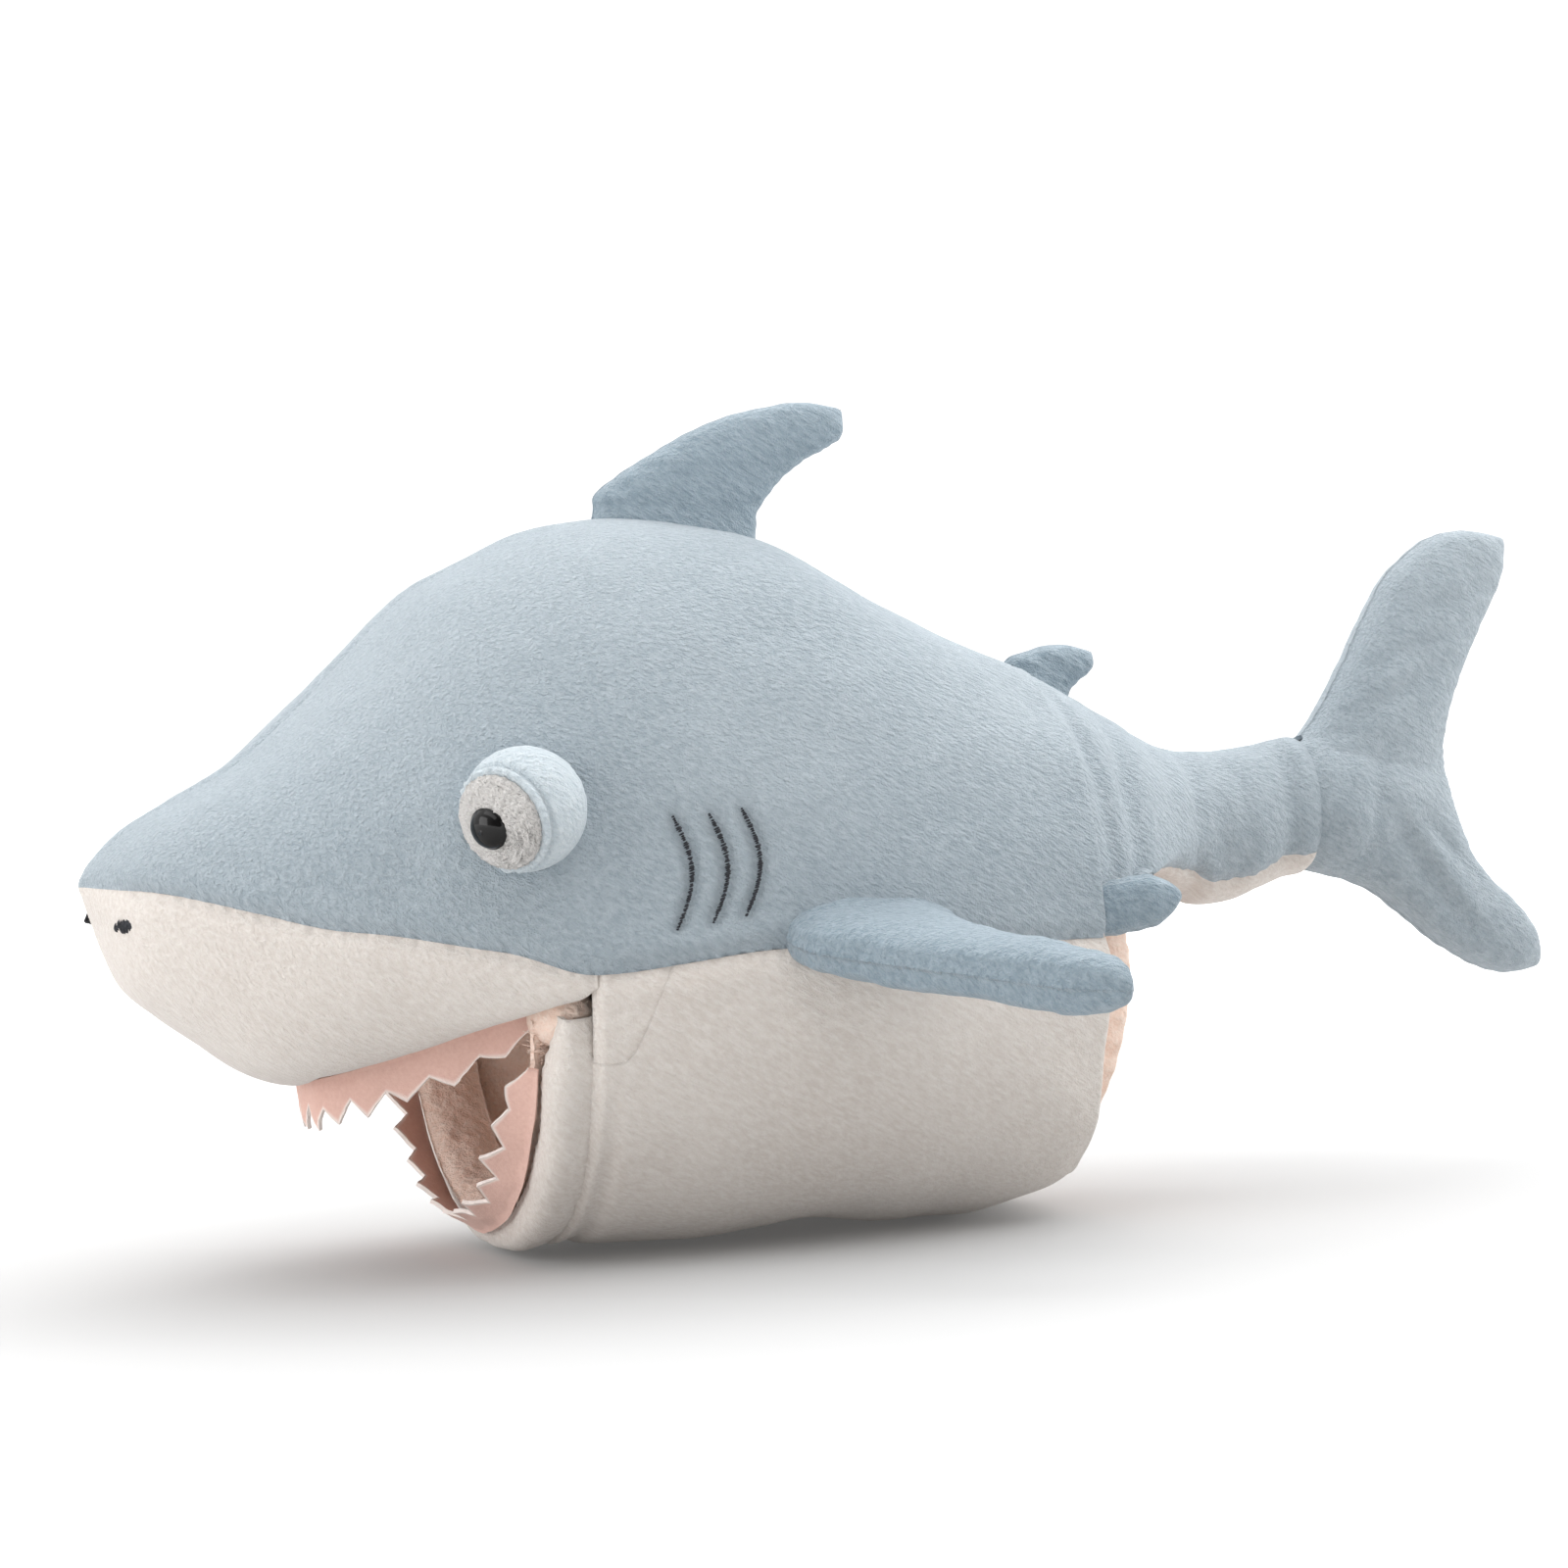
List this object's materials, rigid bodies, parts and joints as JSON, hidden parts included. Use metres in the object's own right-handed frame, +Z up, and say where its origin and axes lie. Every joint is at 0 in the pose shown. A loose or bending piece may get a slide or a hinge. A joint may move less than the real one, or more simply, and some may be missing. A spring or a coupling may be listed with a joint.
{
  "type": "shark hand puppet",
  "caption": "Stuffed velour shark hand puppet: open wrist cuff and fleece sleeve through to a hanging felt-toothed jaw, sprung tail and flapping fins.",
  "frame": {"origin": "on the flat resting patch of the belly, at the floor, in the left-right mirror plane", "axes": "+X from snout to tail, the shark's left side is -Y, +Z up"},
  "size_m": [0.4212, 0.2772, 0.2209],
  "materials": {
    "velour_blue": "short directional pile",
    "velour_white": "short directional pile",
    "eyelid_velour": "short pile",
    "eye_velour": "short fluffy pile",
    "polyester_stuffing": "loose fibre filling",
    "fleece_peach": "brushed fleece",
    "felt_pink": "flat felt with pale cut edges",
    "pupil_black": "moulded and polished",
    "thread_black": "satin stitched embroidery thread"
  },
  "bodies": {
    "body": {"back_panel_left": "velour_blue", "back_panel_right": "velour_blue", "snout_panel": "velour_white", "belly_panel": "velour_white", "head_stuffing": "polyester_stuffing", "body_stuffing": "polyester_stuffing", "hand_sleeve": "fleece_peach", "rear_hem_panel": "fleece_peach", "cuff_hem": "fleece_peach", "palate_lining": "felt_pink", "upper_teeth": "felt_pink", "rump_back": "velour_blue", "rump_underside": "velour_white", "rump_stuffing": "polyester_stuffing", "rear_dorsal_left": "velour_blue", "rear_dorsal_right": "velour_blue", "rear_dorsal_stuffing": "polyester_stuffing", "eye_cover_left": "eyelid_velour", "eye_white_left": "eye_velour", "pupil_left": "pupil_black", "eye_cover_right": "eyelid_velour", "eye_white_right": "eye_velour", "pupil_right": "pupil_black", "gill_stitch_left_1": "thread_black", "gill_stitch_left_2": "thread_black", "gill_stitch_left_3": "thread_black", "gill_stitch_right_1": "thread_black", "gill_stitch_right_2": "thread_black", "gill_stitch_right_3": "thread_black", "nostril_stitch_left": "thread_black", "nostril_stitch_right": "thread_black"},
    "lower_jaw": {"jaw_lip_skin": "velour_white", "jaw_stuffing": "polyester_stuffing", "jaw_lining": "fleece_peach", "lower_teeth": "felt_pink"},
    "tail_stalk": {"tail_stalk_back": "velour_blue", "tail_stalk_underside": "velour_white", "tail_stalk_stuffing": "polyester_stuffing"},
    "tail_fin": {"tail_fin_left": "velour_blue", "tail_fin_right": "velour_blue", "tail_fin_stuffing": "polyester_stuffing"},
    "dorsal_fin": {"dorsal_fin_left": "velour_blue", "dorsal_fin_right": "velour_blue", "dorsal_fin_stuffing": "polyester_stuffing"},
    "pectoral_left": {"pectoral_left_top": "velour_blue", "pectoral_left_under": "velour_blue", "pectoral_left_stuffing": "polyester_stuffing"},
    "pectoral_right": {"pectoral_right_top": "velour_blue", "pectoral_right_under": "velour_blue", "pectoral_right_stuffing": "polyester_stuffing"},
    "pelvic_left": {"pelvic_left_outer": "velour_blue", "pelvic_left_inner": "velour_blue"},
    "pelvic_right": {"pelvic_right_outer": "velour_blue", "pelvic_right_inner": "velour_blue"}
  },
  "joints": [
    {"name": "jaw_close", "type": "hinge", "parent": "body", "child": "lower_jaw", "pos_m": [-0.085, 0, 0.0605], "axis": [0, 1, 0], "range_deg": [-4, 40], "stiffness_Nm_per_rad": 0.06},
    {"name": "tail_swing", "type": "hinge", "parent": "body", "child": "tail_stalk", "pos_m": [0.1291, 0, 0.0984], "axis": [0, 0, 1], "range_deg": [-25, 25], "stiffness_Nm_per_rad": 0.08},
    {"name": "tail_fin_swing", "type": "hinge", "parent": "tail_stalk", "child": "tail_fin", "pos_m": [0.1593, 0, 0.103], "axis": [0, 0, 1], "range_deg": [-25, 25], "stiffness_Nm_per_rad": 0.05},
    {"name": "dorsal_lean", "type": "hinge", "parent": "body", "child": "dorsal_fin", "pos_m": [-0.0496, 0, 0.1995], "axis": [0.9871, 0, -0.16], "range_deg": [-15, 15], "stiffness_Nm_per_rad": 0.01},
    {"name": "pectoral_left_flap", "type": "hinge", "parent": "body", "child": "pectoral_left", "pos_m": [0, -0.085, 0.0795], "axis": [-1, 0, 0], "range_deg": [-25, 25], "stiffness_Nm_per_rad": 0.02},
    {"name": "pectoral_right_flap", "type": "hinge", "parent": "body", "child": "pectoral_right", "pos_m": [0, 0.085, 0.0795], "axis": [1, 0, 0], "range_deg": [-25, 25], "stiffness_Nm_per_rad": 0.02},
    {"name": "pelvic_left_flap", "type": "hinge", "parent": "body", "child": "pelvic_left", "pos_m": [0.0672, -0.0654, 0.083], "axis": [0.1323, -0.043, -0.9903], "range_deg": [-4, 25], "stiffness_Nm_per_rad": 0.004},
    {"name": "pelvic_right_flap", "type": "hinge", "parent": "body", "child": "pelvic_right", "pos_m": [0.0672, 0.0654, 0.083], "axis": [-0.1323, -0.043, 0.9903], "range_deg": [-4, 25], "stiffness_Nm_per_rad": 0.004}
  ]
}
